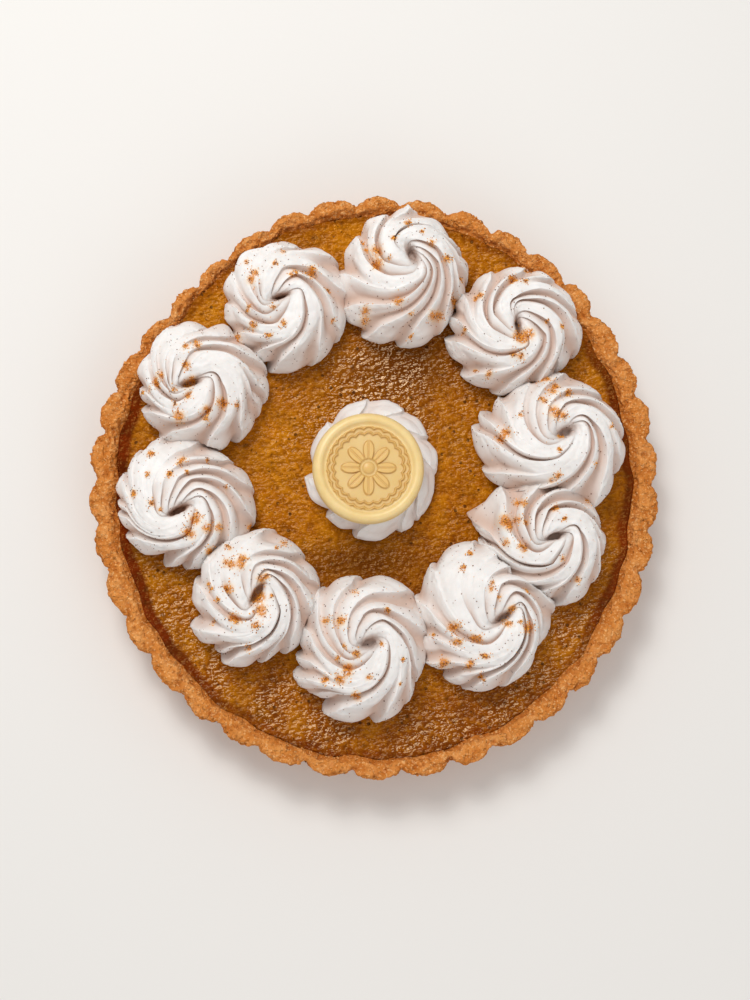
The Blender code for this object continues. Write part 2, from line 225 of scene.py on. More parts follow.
def noiseMask(coords, scale, detail, low, high):
    return maskOf(noiseOf(coords, scale, detail), low, high)


def mathOf(operation, a, b=0):
    node = addNode(a.id_data, "ShaderNodeMath", operation=operation)
    link(a, node.inputs[0])
    link(b, node.inputs[1])
    return node.outputs[0]


def timesOf(a, b):
    return mathOf("MULTIPLY", a, b)


def mixOf(factor, a, b):
    node = addNode(factor.id_data, "ShaderNodeMix", data_type="RGBA")
    for number, value in ((0, factor), (6, a), (7, b)):
        link(value, node.inputs[number])
    return node.outputs[2]


def tintOf(base, mask, share, colour):
    # lays a share of the colour over the base where the mask, or the piece's attribute, is bright
    if isinstance(mask, str):
        mask = attributeOf(base.id_data, mask)
    return mixOf(timesOf(mask, share), base, colour)


def bumpOf(shader, height, distance, strength=1, below=None):
    node = addNode(height.id_data, "ShaderNodeBump", Distance=distance, Strength=strength)
    link(height, node.inputs["Height"])
    if below is not None:
        link(below, node.inputs["Normal"])
    link(node.outputs["Normal"], shader.inputs["Normal"])
    return node.outputs["Normal"]


crust = {
    "outerRadius": 130.6, "outerOval": 1.8, "innerRadius": 118.8, "innerOval": 3.4, "height": 30,
    "wallWidth": 11, "flutes": 38, "fluteDepth": 3.4, "notchDrop": 0.85, "waves": 1.1,
    "flatSide": 135, "flatSpread": 24, "flatOuter": 7.2, "flatInner": 3.6,
    "crumbDepth": 0.72, "pitDepth": 0.8, "biteDepth": 3.8, "crackDepth": 1.1,
    "columns": 1140, "rows": 62, "bottomRows": 4, "floorRows": 3,
    "dough": ((0.3, (0.6, 0.195, 0.032)), (0.52, (0.74, 0.29, 0.068)), (0.74, (0.86, 0.415, 0.14))),
    "tones": {
        "warm": (0.62, 0.18, 0.022), "brownedAndShaded": (0.42, 0.105, 0.008), "crumbAndShade": (0.5, 0.14, 0.012),
        "hollowShade": (0.44, 0.11, 0.01), "flour": (0.97, 0.58, 0.25), "speck": (0.42, 0.11, 0.009),
    },
}


def ovalRadius(angle, radius, oval, flat):
    return radius - oval * np.cos(2 * angle) - flat * bellAt(angle, crust["flatSide"], crust["flatSpread"])


def innerWall(angle):
    # the oval inner edge, with small uneven waves where the dough was pressed
    oval = ovalRadius(angle, crust["innerRadius"], crust["innerOval"], crust["flatInner"])
    waves = 0.45 * np.sin(17 * angle + 1) + 0.4 * np.sin(29 * angle + 2.3) + 0.3 * np.sin(43 * angle + 0.5)
    return oval + crust["waves"] * waves


def fluteLobes(angle):
    # how deep each point lies in a notch, and how its flute's rim is lifted
    draw = random.Random(38)
    count = crust["flutes"]
    notches = [(i + draw.uniform(-0.07, 0.07)) * fullTurn / count for i in range(count)]
    strengths, lifts = np.array([(draw.uniform(0.8, 1.15), draw.uniform(-0.7, 0.7)) for _ in notches]).T
    notches = np.array(notches + [notches[0] + fullTurn])
    turned = (angle - notches[0]) % fullTurn + notches[0]
    flute = np.clip(np.searchsorted(notches, turned, side="right") - 1, 0, count - 1)
    share = np.clip((turned - notches[flute]) / (notches[flute + 1] - notches[flute]), 0, 1)
    lobe = ramp(np.sin(math.pi * share), 0.16, 0.84) ** 0.62
    return strengths[flute] * (1 - lobe), lifts[flute] * lobe


# wall share from 0 outside to 1 inside, height share, inset in millimetres, flute share, and which way
# the crumb stands: 1 outwards, 0 upwards, -1 inwards
crustOutline = (
    (0, 0, 6, 1, 1), (0, 0.1, 5.1, 1, 1), (0, 0.45, 3, 1, 1),
    (0, 0.84, 0.5, 1, 1), (0.04, 0.93, 0, 1, 0.8), (0.12, 0.98, 0, 0.9, 0.5),
    (0.38, 1, 0, 0.6, 0), (0.62, 0.99, 0, 0.42, -0.2), (0.8, 0.955, 0, 0.26, -0.5),
    (0.94, 0.89, 0, 0.1, -0.8), (1, 0.83, 0.2, 0, -1), (1, 0.74, 1.4, 0, -1),
    (1, 0.17, 6, 0, -1),
)


def buildCrust():
    # the wall's outline, wrapped round the oval tart, then roughened
    rows, bottomRows, floorRows = crust["rows"], crust["bottomRows"], crust["floorRows"]
    piece, across, row = addGrid("bakedCrust", crust["columns"], rows)
    angle = across * fullTurn
    corners = np.array(crustOutline)
    sideways = np.diff(corners[:, 0]) * crust["wallWidth"] - np.diff(corners[:, 2])
    upwards = np.diff(corners[:, 1]) * crust["height"]
    # the rows stand closer together on the rim than on the wall
    weight = np.array([1 if corner[1] > 0.8 else 0.55 for corner in corners[1:]])
    drawn = np.concatenate([[0], np.cumsum(np.hypot(sideways, upwards) * weight)])
    along = ramp(row, bottomRows, rows - bottomRows - floorRows) * drawn[-1]
    share, tall, inset, fluted, facing = (np.interp(along, drawn, corners[:, k]) for k in range(5))
    notch, lift = fluteLobes(angle)
    outer = ovalRadius(angle, crust["outerRadius"], crust["outerOval"], crust["flatOuter"])
    radius = outer * (1 - share) + innerWall(angle) * share - inset - crust["fluteDepth"] * notch * fluted
    height = tall * crust["height"] + (lift - crust["notchDrop"] * notch) * tall ** 4 * (share < 0.95)
    inFloor = ramp(row, rows, -floorRows)
    radius = radius * ramp(row, 0, bottomRows) * inFloor
    points = pointsRound((0, 0), angle, radius, height)
    # crumbly relief: it only cuts inwards, and leaves the foot level
    grain = 0.8 * lumps(points, 8, 1) + 1.35 * lumps(points, 3.4, 2) + 1.25 * lumps(points, 1.9, 3)
    bites = np.clip(lumps(points, 5.5, 6) - 0.25, 0, 1) * np.clip(1 - share * 2.5, 0, 1)
    cracks = np.clip(1 - np.abs(lumps(points, 7, 7)) / 0.045, 0, 1) * np.clip(lumps(points, 12, 8) * 3, 0, 1)
    pits = np.clip(lumps(points, 2.2, 4) - 0.3, 0, 1) * 2.4
    pits = pits + crust["biteDepth"] * bites + crust["crackDepth"] * cracks
    shown = np.clip(height / 3, 0, 1) * (inFloor > 0.999)
    settled = 1 - 0.8 * ramp(share, 0.9, 0.1) * (tall < 0.88)
    depth = (crust["crumbDepth"] * (grain - 1.1) - crust["pitDepth"] * pits) * shown * settled
    pushPoints(points, angle, depth * facing, depth * np.sqrt(1 - facing ** 2))
    # the rim's outer edge is browned by baking; the inner wall and the notches between the flutes get painted
    # shade
    edge = ramp(tall, 0.8, 0.2) * np.clip(1 - share * 5, 0, 1)
    inner = ramp(share, 0.74, 0.26)
    paint(piece, "browningAndShade", 0.55 * edge + 0.95 * inner + 0.35 * notch * (share < 0.5))
    # painted shade where the relief is cut deepest, in the bites, pits and cracks
    paint(piece, "sunkenShade", ramp(-depth, 0.8, 1.2))
    writePoints(piece, points * mm)
    closeSeams(piece)
    finishPiece(piece, crustMaterial(), "crust", "crust")
    return piece


def crustMaterial():
    material, tree, shader = newMaterial("bakedShortcrust", {"Roughness": 0.85, "Specular IOR Level": 0.1})
    coords, tones = objectCoords(tree), crust["tones"]
    base = rampOf(noiseOf(coords, 170, 5), *crust["dough"])
    base = tintOf(base, noiseMask(coords, 30, 3, 0.42, 0.66), 0.35, tones["warm"])
    # baked browning on the rim's edge, painted shade on the inner wall and in the notches
    brown = timesOf(attributeOf(tree, "browningAndShade"), noiseMask(coords, 110, 4, 0.22, 0.58))
    base = mixOf(brown, base, tones["brownedAndShaded"])
    crumbAndShade = noiseOf(coords, 360, 2, 0.55)
    # painted shade in the hollows of the crumb relief
    base = tintOf(base, maskOf(crumbAndShade, 0.5, 0.34), 0.36, tones["crumbAndShade"])
    # painted shade in the deepest cuts
    base = tintOf(base, "sunkenShade", 0.7, tones["hollowShade"])
    base = tintOf(base, noiseMask(coords, 900, 3, 0.56, 0.64), 0.6, tones["flour"])
    base = tintOf(base, noiseMask(coords, 520, 3, 0.58, 0.68), 0.2, tones["speck"])
    link(base, shader.inputs["Base Color"])
    coarse = bumpOf(shader, crumbAndShade, 0.0026)
    bumpOf(shader, noiseOf(coords, 1100, 2, 0.5), 0.0007, below=coarse)
    return material


filling = {
    "level": 25.5, "foot": 5.3, "gap": -0.25, "cells": 290, "foldIn": 7,
    "edgeStart": 0.974, "edgeWidth": 0.018,
    # how dark and wide the edge is, by the angle round the tart in degrees
    "edgeAngles": (-180, -140, -118, -70, -48, -25, 25, 50, 140, 165, 180),
    "edgeTones": (1.55, 0.95, 0.6, 0.45, 0.35, 0.95, 0.95, 0.45, 0.45, 1.1, 1.55),
    # painted shadows: middle, half widths and strength
    "shadowSpots": (
        (14, 53, 27, 13, 1), (-5, -36, 30, 11, 1), (-108, -26, 10, 24, 0.55), (108, -26, 12, 34, 0.3),
    ),
    # how much the skin shines everywhere, round one place and in a band near the lower edge
    "shineBase": 0.16, "shineMiddle": (4, 46), "shineSpread": 34, "shine": 0.85, "shineBand": 0.44,
    "stretch": (0.75, 1.2, 1), "wrinkles": 540, "fineWrinkles": 900,
    "skin": ((0.38, (0.15, 0.026, 0.001)), (0.5, (0.34, 0.082, 0.001)), (0.62, (0.52, 0.175, 0.002))),
    "ring": ((0, (0.2, 0.017, 0.0004)), (1, (0.085, 0.005, 0.0002))),
    "tones": {
        "golden": (0.56, 0.185, 0.001), "brown": (0.22, 0.048, 0.001), "yellow": (0.56, 0.22, 0.001),
        "hollowShade": (0.1, 0.015, 0.001), "ridge": (0.66, 0.26, 0.01), "fineRidgeLight": (0.66, 0.25, 0.014),
        "shining": (0.2, 0.044, 0.002), "paintedShadow": (0.1, 0.019, 0.0003), "glint": (0.95, 0.66, 0.41),
        "poreShade": (0.085, 0.018, 0.002), "speck": (0.035, 0.009, 0.002), "pit": (0.06, 0.014, 0.003),
    },
}


def buildFilling():
    # a square sheet rounded to the crust's inner wall, then drawn down to the floor
    piece, _, _ = addGrid("setFilling", filling["cells"], filling["cells"])
    flat = readPoints(piece)[:, :2] * 2
    disk = flat * np.sqrt(1 - flat[:, ::-1] ** 2 / 2)
    angle = np.arctan2(disk[:, 1], disk[:, 0])
    reach = np.hypot(disk[:, 0], disk[:, 1])
    points = pointsRound((0, 0), angle, reach * (innerWall(angle) - filling["gap"]), np.zeros(len(reach)))
    slow = lumps(points, 34, 11)
    skin = 0.22 * lumps(points, 9, 12) + 0.22 * lumps(points, 3.4, 13) + 0.17 * lumps(points, 1.9, 14)
    pores = np.clip(lumps(points, 2.6, 15) - 0.42, 0, 1)
    height = 0.25 * slow + 1.3 * skin - 1.3 * pores + 0.7 * ramp(reach, 0.955, 0.045) ** 2 - 0.35
    points[:, 2] = filling["level"] + np.clip(height, -1.2, 0.6)
    paintFilling(piece, points, angle, reach, pores)
    writePoints(piece, points * mm)
    editPiece(piece)
    bpy.ops.mesh.select_non_manifold()
    drop = (filling["foot"] - filling["level"]) * mm
    bpy.ops.mesh.extrude_edges_move(TRANSFORM_OT_translate={"value": (0, 0, drop)})
    narrow = 1 - filling["foldIn"] / crust["innerRadius"]
    bpy.ops.transform.resize(value=(narrow, narrow, 0), center_override=(0, 0, filling["foot"] * mm))
    bpy.ops.mesh.edge_face_add()
    faceOutwards()
    finishPiece(piece, fillingMaterial(), "filling", "filling")


def paintFilling(piece, points, angle, reach, pores):
    # the dark edge, which is baked colour and painted shade, the painted shine, painted shadows, a golden far
    # side and pores, for the material
    x, y, _ = points.T
    radius = np.hypot(x, y)
    start, width = filling["edgeStart"], filling["edgeWidth"]
    wavy = reach + 0.7 * width * lumps(points, 13, 17)
    tone = np.interp(np.degrees(angle), filling["edgeAngles"], filling["edgeTones"])
    # a dark edge of baked colour and painted shade, by the angle round the tart
    paint(piece, "edgeBakeAndShade", tone * ramp(wavy, start - width * tone, width))
    aside = np.hypot(x - filling["shineMiddle"][0], y - filling["shineMiddle"][1]) / filling["shineSpread"]
    band = filling["shineBand"] * ramp(radius, 82, 14) * ramp(y, -20, -40)
    paint(piece, "shine", filling["shineBase"] + filling["shine"] * np.exp(-aside ** 2) + band)
    # painted shadow: a little darker towards the lower edge, then the spots of painted shadow
    paintedShadow = 0.05 * ramp(radius, 70, 25) * ramp(y, 10, -60)
    for spotX, spotY, wide, tall, strength in filling["shadowSpots"]:
        paintedShadow += strength * np.exp(-((x - spotX) / wide) ** 2 - ((y - spotY) / tall) ** 2)
    paint(piece, "paintedShadow", paintedShadow)
    paint(piece, "golden", 0.8 * ramp(y, -95, 110) + 0.35 * ramp(y, 78, 20))
    paint(piece, "pores", pores * 3)


def fillingMaterial():
    material, tree, shader = newMaterial("butterscotchSkin", {
        "Roughness": 0.2, "Specular Tint": (1, 0.56, 0.12, 1), "Specular IOR Level": 0.32})
    coords, tones = objectCoords(tree), filling["tones"]
    stretched = addNode(tree, "ShaderNodeMapping", Scale=filling["stretch"])
    link(coords, stretched.inputs["Vector"])
    wrinkled = stretched.outputs["Vector"]
    wrinkles = noiseOf(wrinkled, filling["wrinkles"], 2, 0.5)
    fine = noiseOf(wrinkled, filling["fineWrinkles"], 2, 0.5)
    base = rampOf(noiseOf(coords, 62, 6, 0.65), *filling["skin"])
    base = tintOf(base, "golden", 0.64, tones["golden"])
    # broad patches, browner here and yellower there
    broad = noiseOf(coords, 26, 4, 0.55)
    base = tintOf(base, maskOf(broad, 0.5, 0.62), 0.34, tones["brown"])
    base = tintOf(base, maskOf(broad, 0.48, 0.36), 0.34, tones["yellow"])
    # painted shade makes the hollows of the skin darker and redder, and painted light makes its ridges paler
    shine = attributeOf(tree, "shine")
    hollowShade = mathOf("ADD", timesOf(shine, 0.4), 0.34)
    base = tintOf(base, maskOf(wrinkles, 0.52, 0.36), hollowShade, tones["hollowShade"])
    base = tintOf(base, maskOf(wrinkles, 0.54, 0.68), 0.35, tones["ridge"])
    base = tintOf(base, maskOf(fine, 0.53, 0.64), 0.35, tones["fineRidgeLight"])
    base = tintOf(base, shine, 0.6, tones["shining"])
    # painted shadows
    base = tintOf(base, "paintedShadow", 0.92, tones["paintedShadow"])
    base = mixOf(glintOf(coords, wrinkled, wrinkles, shine), base, tones["glint"])
    # the dark ring where the filling baked onto the crust, darkened further by painted shade beside the
    # crust's wall
    ringColour = rampOf(noiseMask(coords, 75, 4, 0.3, 0.6), *filling["ring"])
    base = tintOf(base, "edgeBakeAndShade", 0.97, ringColour)
    # painted shade in the pores
    base = tintOf(base, "pores", 0.8, tones["poreShade"])
    base = tintOf(base, noiseMask(coords, 760, 2, 0.67, 0.71), 0.85, tones["speck"])
    # painted shade of small round pores, thinned out by a broad noise
    cells = addNode(tree, "ShaderNodeTexVoronoi", Scale=210)
    link(coords, cells.inputs["Vector"])
    thinned = noiseMask(coords, 90, 2, 0.5, 0.54)
    pit = timesOf(maskOf(cells.outputs["Distance"], 0.2, 0.14), thinned)
    base = tintOf(base, pit, 0.85, tones["pit"])
    link(base, shader.inputs["Base Color"])
    rough = mathOf("ADD", timesOf(noiseMask(coords, 150, 3, 0.3, 0.7), 0.12), 0.1)
    link(rough, shader.inputs["Roughness"])
    coarse = bumpOf(shader, wrinkles, 0.00105)
    bumpOf(shader, fine, 0.0003, below=coarse)
    return material


def glintOf(coords, wrinkled, wrinkles, shine):
    # short curved glints where a ridge of the skin leans towards the window
    slopes = []
    for shift in ((-0.00024, 0.0004, 0), (0.0004, 0.00024, 0)):
        moved = addNode(coords.id_data, "ShaderNodeMapping", Location=shift)
        link(wrinkled, moved.inputs["Vector"])
        beside = noiseOf(moved.outputs["Vector"], filling["wrinkles"], 2, 0.5)
        slopes.append(mathOf("SUBTRACT", wrinkles, beside))
    leaning = mathOf("ABSOLUTE", mathOf("SUBTRACT", slopes[0], 0.085))
    level = mathOf("ABSOLUTE", slopes[1])
    glint = timesOf(maskOf(leaning, 0.062, 0.036), maskOf(level, 0.085, 0.045))
    patchy = mathOf("ADD", timesOf(noiseMask(coords, 48, 3, 0.4, 0.57), 0.75), 0.25)
    return timesOf(timesOf(glint, patchy), shine)


creamBase = 25
piping = {
    "grooveDepth": 4.4, "wallDepth": 1.9, "pitch": 1.7, "wallPitch": 0.45, "eye": 0.34, "lean": 1.7,
    "raggedSide": 215, "raggedShare": 0.45, "calmSide": 130, "calmSpread": 44,
    "topRidges": 7, "ridgeColumns": 20, "rows": 104,
    "cream": ((0.35, (0.8, 0.778, 0.76)), (0.65, (0.868, 0.854, 0.842))),
    "spiced": ((0.25, (0.9, 0.57, 0.22)), (0.95, (0.7, 0.26, 0.02))),
    "tones": {"groove": (0.64, 0.445, 0.35), "pit": (0.28, 0.11, 0.045), "speck": (0.2, 0.1, 0.07)},
}

rosetteOutline = (
    (0.92, 0), (1, 0.1), (1.01, 0.28), (0.94, 0.55), (0.77, 0.82), (0.54, 0.97), (0.34, 1),
    (0.19, 0.95), (0.1, 0.84), (0.04, 0.68),
)
moundOutline = ((0.93, 0), (1, 0.22), (0.97, 0.5), (0.86, 0.8), (0.68, 1))

# middle, half widths, height and pit in millimetres; the slit's turn and tightness, how smooth the calm
# side is and how dark the pit; each petal is where it starts in degrees, then its reach in millimetres at
# its corner, middle and end; each tail is its side, spread, length and height share
rosettes = (
    {"middle": (-43, 78.1), "half": (26, 29.5), "tall": 26, "pit": (-0.7, 0.9),
     "slit": (20, 1), "calm": 1, "shade": 1,
     "petals": ((5, 30.5, 31, 31), (40, 32, 31.5, 28), (72, 27.8, 30.2, 27.4), (105, 27.3, 29.5, 27.2),
         (145, 27, 28, 25), (178, 25, 26.4, 26), (212, 26, 27.5, 27), (238, 27, 27.5, 26.2),
         (262, 29.8, 29.9, 29.1), (300, 29.3, 29.5, 28.4), (332, 29.2, 29.4, 29.4))},
    {"middle": (12.2, 91.4), "half": (28.8, 29.6), "tall": 27.5, "pit": (2, 8),
     "slit": (120, 0.7), "calm": 0, "shade": 0.3, "tails": ((88, 2.5, 2.5, 0.35),),
     "petals": ((0, 28.2, 29.6, 26.3), (25, 28.2, 27.5, 25.8), (40, 27.2, 31, 31.4), (80, 31.8, 32.6, 30),
         (104, 30.5, 31.9, 28.4), (137, 29.3, 29.7, 28.7), (175, 30, 31, 31), (205, 31.5, 32, 31.1),
         (236, 32.2, 31.4, 30.1), (268, 30, 31.2, 30), (304, 28.5, 27, 26), (335, 27, 28, 27.8))},
    {"middle": (62.7, 69), "half": (29.8, 28.6), "tall": 27, "pit": (-2.1, -2.2),
     "slit": (100, 1), "calm": 0, "shade": 0.6,
     "petals": ((14, 28.2, 29, 28.3), (52, 28.6, 29.9, 27.8), (79, 28.4, 28.9, 28.5), (112, 28.7, 29.4, 29),
         (145, 29.5, 31, 31), (168, 31, 30.6, 30), (189, 32.5, 32.1, 32), (222, 32.4, 31.6, 30.7),
         (252, 30.5, 30, 29.5), (282, 30.4, 30.2, 25.5), (314, 25.6, 28, 29.2), (341, 29.6, 30.1, 28))},
    {"middle": (77.6, 18.6), "half": (31.6, 29.3), "tall": 28, "pit": (4.5, 1.7),
     "slit": (30, 0.6), "calm": 0.5, "shade": 0.15,
     "petals": ((5, 33.2, 32, 30), (39, 30.3, 30.6, 31), (75, 31, 30, 29), (108, 28.5, 29, 29.8),
         (140, 30.3, 30, 29.8), (159, 33.8, 33.7, 33.1), (171, 35.2, 33.9, 32.1), (205, 33, 32.4, 32),
         (235, 31.5, 31, 31), (265, 31.5, 33, 34), (300, 35.7, 34.6, 31), (338, 33.2, 34.5, 32))},
    {"middle": (73.8, -27.7), "half": (28.6, 28.2), "tall": 29, "pit": (2.3, 1.6),
     "slit": (20, 1), "calm": 0, "shade": 0.25, "tails": ((158, 9, 6.5, 0),),
     "petals": ((17, 27, 28, 29.5), (50, 29.5, 29.5, 29), (85, 29.5, 29.5, 29.5), (125, 31.5, 31.6, 32.4),
         (164, 29.7, 29.4, 27.2), (178, 28.6, 28, 27), (215, 28.5, 27.5, 27), (250, 27.5, 28, 26.5),
         (283, 27.9, 29.9, 28.7), (325, 28, 27, 26), (352, 27.2, 28.4, 26.6))},
    {"middle": (47.5, -60.1), "half": (29.8, 32.6), "tall": 26, "pit": (6.6, -1.4),
     "slit": (35, 1), "calm": 0.9, "shade": 0.4,
     "petals": ((6, 31, 32, 32), (40, 32, 32, 32), (70, 33, 34, 32.4), (97, 33.2, 34.2, 31.9),
         (136, 32.8, 31.4, 31.3), (165, 31.8, 30, 29.5), (195, 30, 32, 33), (217, 33, 31.8, 31),
         (238, 32.2, 33.5, 32.4), (255, 33, 33.1, 31.5), (285, 31.6, 30, 26.5), (332, 26.8, 29.3, 29.7))},
    {"middle": (-8.5, -74.8), "half": (27.5, 31.8), "tall": 28, "pit": (3.9, 2.5),
     "slit": (15, 0.7), "calm": 0.4, "shade": 0.15,
     "petals": ((10, 31, 32, 33.5), (46, 34.2, 34.2, 30.4), (91, 31.8, 32.6, 31.7), (122, 31.5, 29, 27),
         (155, 27, 27, 26.4), (186, 27.1, 27.4, 27.5), (202, 30.2, 30.5, 29.8), (221, 27.5, 26.9, 26),
         (243, 31.2, 31.8, 28.7), (286, 32.4, 32.9, 31), (313, 31.2, 29.8, 28.2), (333, 28.7, 29.6, 30.5))},
    {"middle": (-53, -52.4), "half": (27.7, 29.8), "tall": 27, "pit": (-0.1, 0.8),
     "slit": (60, 1), "calm": 1, "shade": 0.6,
     "petals": ((10, 27.6, 28.1, 27), (43, 27.5, 28.9, 30.3), (78, 30.7, 30, 29.6), (105, 29.5, 29, 29),
         (135, 29.2, 28.6, 27.6), (163, 28, 28.1, 26.9), (204, 31, 31.1, 28.4), (233, 28.6, 28.8, 28.6),
         (244, 31.6, 31.2, 27.2), (275, 28, 26, 25.2), (299, 27.2, 27.6, 27.5), (335, 27.6, 27.7, 27.6))},
    {"middle": (-84.5, -11.1), "half": (30.6, 28.8), "tall": 26, "pit": (-2.8, -5.2),
     "slit": (30, 1), "calm": 0.8, "shade": 1,
     "petals": ((12, 29.7, 29.4, 26.8), (43, 27, 26.9, 27), (75, 28, 29.5, 30), (108, 31.1, 31.1, 30.9),
         (132, 31, 30.7, 27.8), (155, 30.2, 31.9, 29), (179, 29.5, 29.2, 28.3), (189, 29.6, 29.3, 27.5),
         (210, 29.5, 28.7, 25.6), (254, 28.6, 28.6, 27.4), (273, 28.6, 29, 29.5), (310, 30.5, 31.4, 30.4),
         (345, 30.9, 30.4, 30))},
    {"middle": (-77.6, 41.2), "half": (28.7, 29), "tall": 27, "pit": (-5.5, -1.6),
     "slit": (20, 1), "calm": 0.8, "shade": 0.7,
     "petals": ((16, 28.8, 28.3, 27), (54, 26, 29.9, 26), (87, 26, 30.2, 30.6), (118, 30.5, 30.3, 27.2),
         (149, 28, 30.4, 26.7), (183, 27.8, 28.7, 28.2), (203, 29, 29.3, 29.6), (232, 29.6, 29.2, 28.5),
         (270, 29.2, 29.8, 27), (305, 28.8, 28.1, 27.1), (335, 27.2, 27, 26.3), (351, 28.2, 29, 28.4))},
)
mound = {
    "middle": (-1.9, 4.7), "half": (29.5, 31.9), "tall": 13, "pit": (0, 0),
    "slit": (0, 0), "calm": 0, "shade": 0, "softness": 0.45,
    "petals": ((0, 28.4, 30, 28), (33, 29.2, 31.3, 30.3), (65, 31.2, 32.8, 32), (95, 32.3, 31.6, 28.2),
        (134, 29.8, 29.7, 26), (187, 30.8, 30.8, 27.2), (226, 29.6, 30.4, 28.2), (256, 31.2, 31.9, 29),
        (296, 30.2, 30.9, 29), (313, 29.8, 29.1, 27.8)),
}

# where the spice fell thickest: places from each rosette's middle, and size, in millimetres
spiceClumps = {
    1: ((-13, 9, 2.5), (4, 11, 2), (14, 11, 2.2), (20, 5, 1), (-15, -5, 1.6), (-12, -12, 1.8),
        (-19, -17, 2.4), (-5, -17, 1.2), (1, -12, 1.4)),
    2: ((-13, 7, 3), (-19, 12, 2.2), (-7, 14, 1.8), (-1, 21, 1.5), (-6, -14, 2), (-18, -18, 2),
        (14, -19, 2.6), (22, -12, 2), (24, -1, 1.2), (17, 5, 1.5)),
    3: ((-5, -6, 3.2), (1, -6, 3.4), (-3, -16, 2.2), (-19, 13, 1.8), (-3, 18, 1.8), (2, 18, 1.2),
        (11, 0, 0.8), (-25, -3, 0.8)),
    4: ((-5, 26, 2), (0, 21, 2), (6, 19, 1.6), (-6, 14, 1.6), (0, 11, 2.8), (1, 8, 2), (2, 0, 1.2),
        (-24, 0, 2.2), (0, -7, 1), (0, -18, 1.2)),
    5: ((-13, 16, 2), (-20, 7, 3), (-18, 6, 1.6), (1, 13, 1.5), (-14, -4, 2.4), (-19, -2, 1.4), (6, 9, 1)),
    6: ((-8, 27, 1.4), (-11, 21, 1.2), (0, 13, 1.4), (-15, -5, 2.2), (-6, -9, 2.6), (-16, -12, 2), (7, -5, 2),
        (9, 2, 2.2), (15, -8, 2.6), (-3, -18, 1.4), (-9, -22, 1.4), (-19, -20, 2), (-3, -27, 1.2)),
    7: ((-9, 11, 2.2), (-16, 12, 1.8), (-2, -2, 1.8), (-6, -11, 3), (-9, -13, 2), (-15, -13, 1.6),
        (-3, -21, 1.6), (11, 16, 1), (-10, -5, 1.2), (18, -5, 0.8)),
    8: ((-7, 14, 2.4), (-13, 14, 1.8), (-13, 20, 1.4), (-12, 2, 2.4), (4, 8, 2.4), (3, 1, 3), (2, -7, 2.6),
        (-9, -10, 2.2), (-1, -13, 1.6), (-20, 4, 1.2), (-17, -2, 1)),
    9: ((-14, 20, 1.6), (-1, 16, 1.8), (1, 12, 1), (-7, 11, 1.6), (-22, 2, 1.4), (-14, -2, 1.4),
        (5, -10, 2.4), (10, -13, 3.2), (2, -15, 2.4), (11, -22, 1.6), (-16, 10, 1)),
    10: ((-3, 16, 1.8), (-6, 6, 1.8), (-6, -2, 2.4), (-6, -7, 1.6), (-11, -16, 2.6), (8, -11, 2.6),
        (3, -14, 2), (-21, -1, 1.4), (-19, -3, 1), (2, -18, 1.4), (15, -11, 1.2), (-26, -5, 0.8)),
}

# the rosette that gives way, then the one that keeps its shape
pressedPairs = ((1, 2), (2, 3), (3, 4), (4, 5), (6, 5), (6, 7), (8, 7), (9, 8), (10, 9), (10, 1))


def swirlTurns(outline, size, tall):
    # how far the ridges have turned at each row, counted from the pit outwards
    turns = np.zeros(len(outline))
    for i in range(len(outline) - 2, -1, -1):
        sideways, upwards = outline[i] - outline[i + 1]
        run = math.hypot(sideways * size, upwards * tall)
        radius = max((outline[i, 0] + outline[i + 1, 0]) / 2, piping["eye"]) * size
        onWall = ramp(outline[i, 0], 0.74, 0.2)
        pitch = piping["pitch"] * (1 - onWall) + piping["wallPitch"] * onWall
        turns[i] = turns[i + 1] - pitch * run / radius
    return turns


def ridgeGroove(share, fullness):
    # 0 on the sharp crest, 1 in the groove under the next crest
    return np.sin(math.pi * share ** (1.7 + 2.1 * fullness)) ** 0.85


def petalReach(petals, index, share):
    # reach of the foot along each petal, from its corner to its end
    corners = np.array([petal[1:] for petal in petals])
    nextCorner = np.roll(corners[:, 0], -1)
    corner, middle, end = corners[index].T
    rising = corner + (middle - corner) * ramp(share, 0.05, 0.45) ** 0.8
    falling = middle + (end - middle) * ramp(share, 0.5, 0.42) ** 1.3
    joined = end + (nextCorner[index] - end) * ramp(share, 0.92, 0.08)
    return np.where(share < 0.5, rising, np.where(share < 0.92, falling, joined))


def outlineAt(outline, tallShare):
    # the widest reach of the outline at each height
    heights = outline[:, 1]
    top = int(np.argmax(heights))
    return np.interp(tallShare, heights[:top + 1], outline[:top + 1, 0], right=0)


def pressAway(points, spec):
    # moves what would lie inside a neighbour out to just under its surface
    outline = smoothCurve(rosetteOutline, 60)
    away = points[:, :2] - np.array(spec["middle"])
    share = np.hypot(away[:, 0] / spec["half"][0], away[:, 1] / spec["half"][1])
    limit = outlineAt(outline, ramp(points[:, 2], creamBase, spec["tall"])) - 0.06
    inside = (share < limit) & (share > 0.05)
    factor = np.where(inside, limit / np.maximum(share, 0.05), 1)
    points[:, :2] = np.array(spec["middle"]) + away * factor[:, None]
    return points


def insideCrust(points):
    # keeps what lies below the rim off the crust's inner wall
    angle = np.arctan2(points[:, 1], points[:, 0])
    distance = np.hypot(points[:, 0], points[:, 1])
    limit = innerWall(angle) + 0.2
    factor = np.where((points[:, 2] < crust["height"] + 1) & (distance > limit), limit / distance, 1)
    points[:, :2] *= factor[:, None]
    return points


def drawRidges(petals, seed):
    # each ridge has its own width, depth and fullness, and narrow ones die out on the way up
    draw = random.Random(seed)
    count = len(petals)

    def each(low, high):
        return np.array([draw.uniform(low, high) for _ in range(count)])

    knots = np.radians([petal[0] for petal in petals] + [petals[0][0] + 360])
    widths = np.diff(knots)
    strength = each(0.75, 1.15)
    fullness = np.clip((widths / widths.mean() - 0.8) * 0.9 + each(-0.15, 0.15), 0, 1)
    notches = each(0.4, 1.3)
    doubled = each(0, 1) > 0.6
    short = np.argsort(np.argsort(widths)) < count - piping["topRidges"]
    return knots, strength, fullness, notches, doubled, short


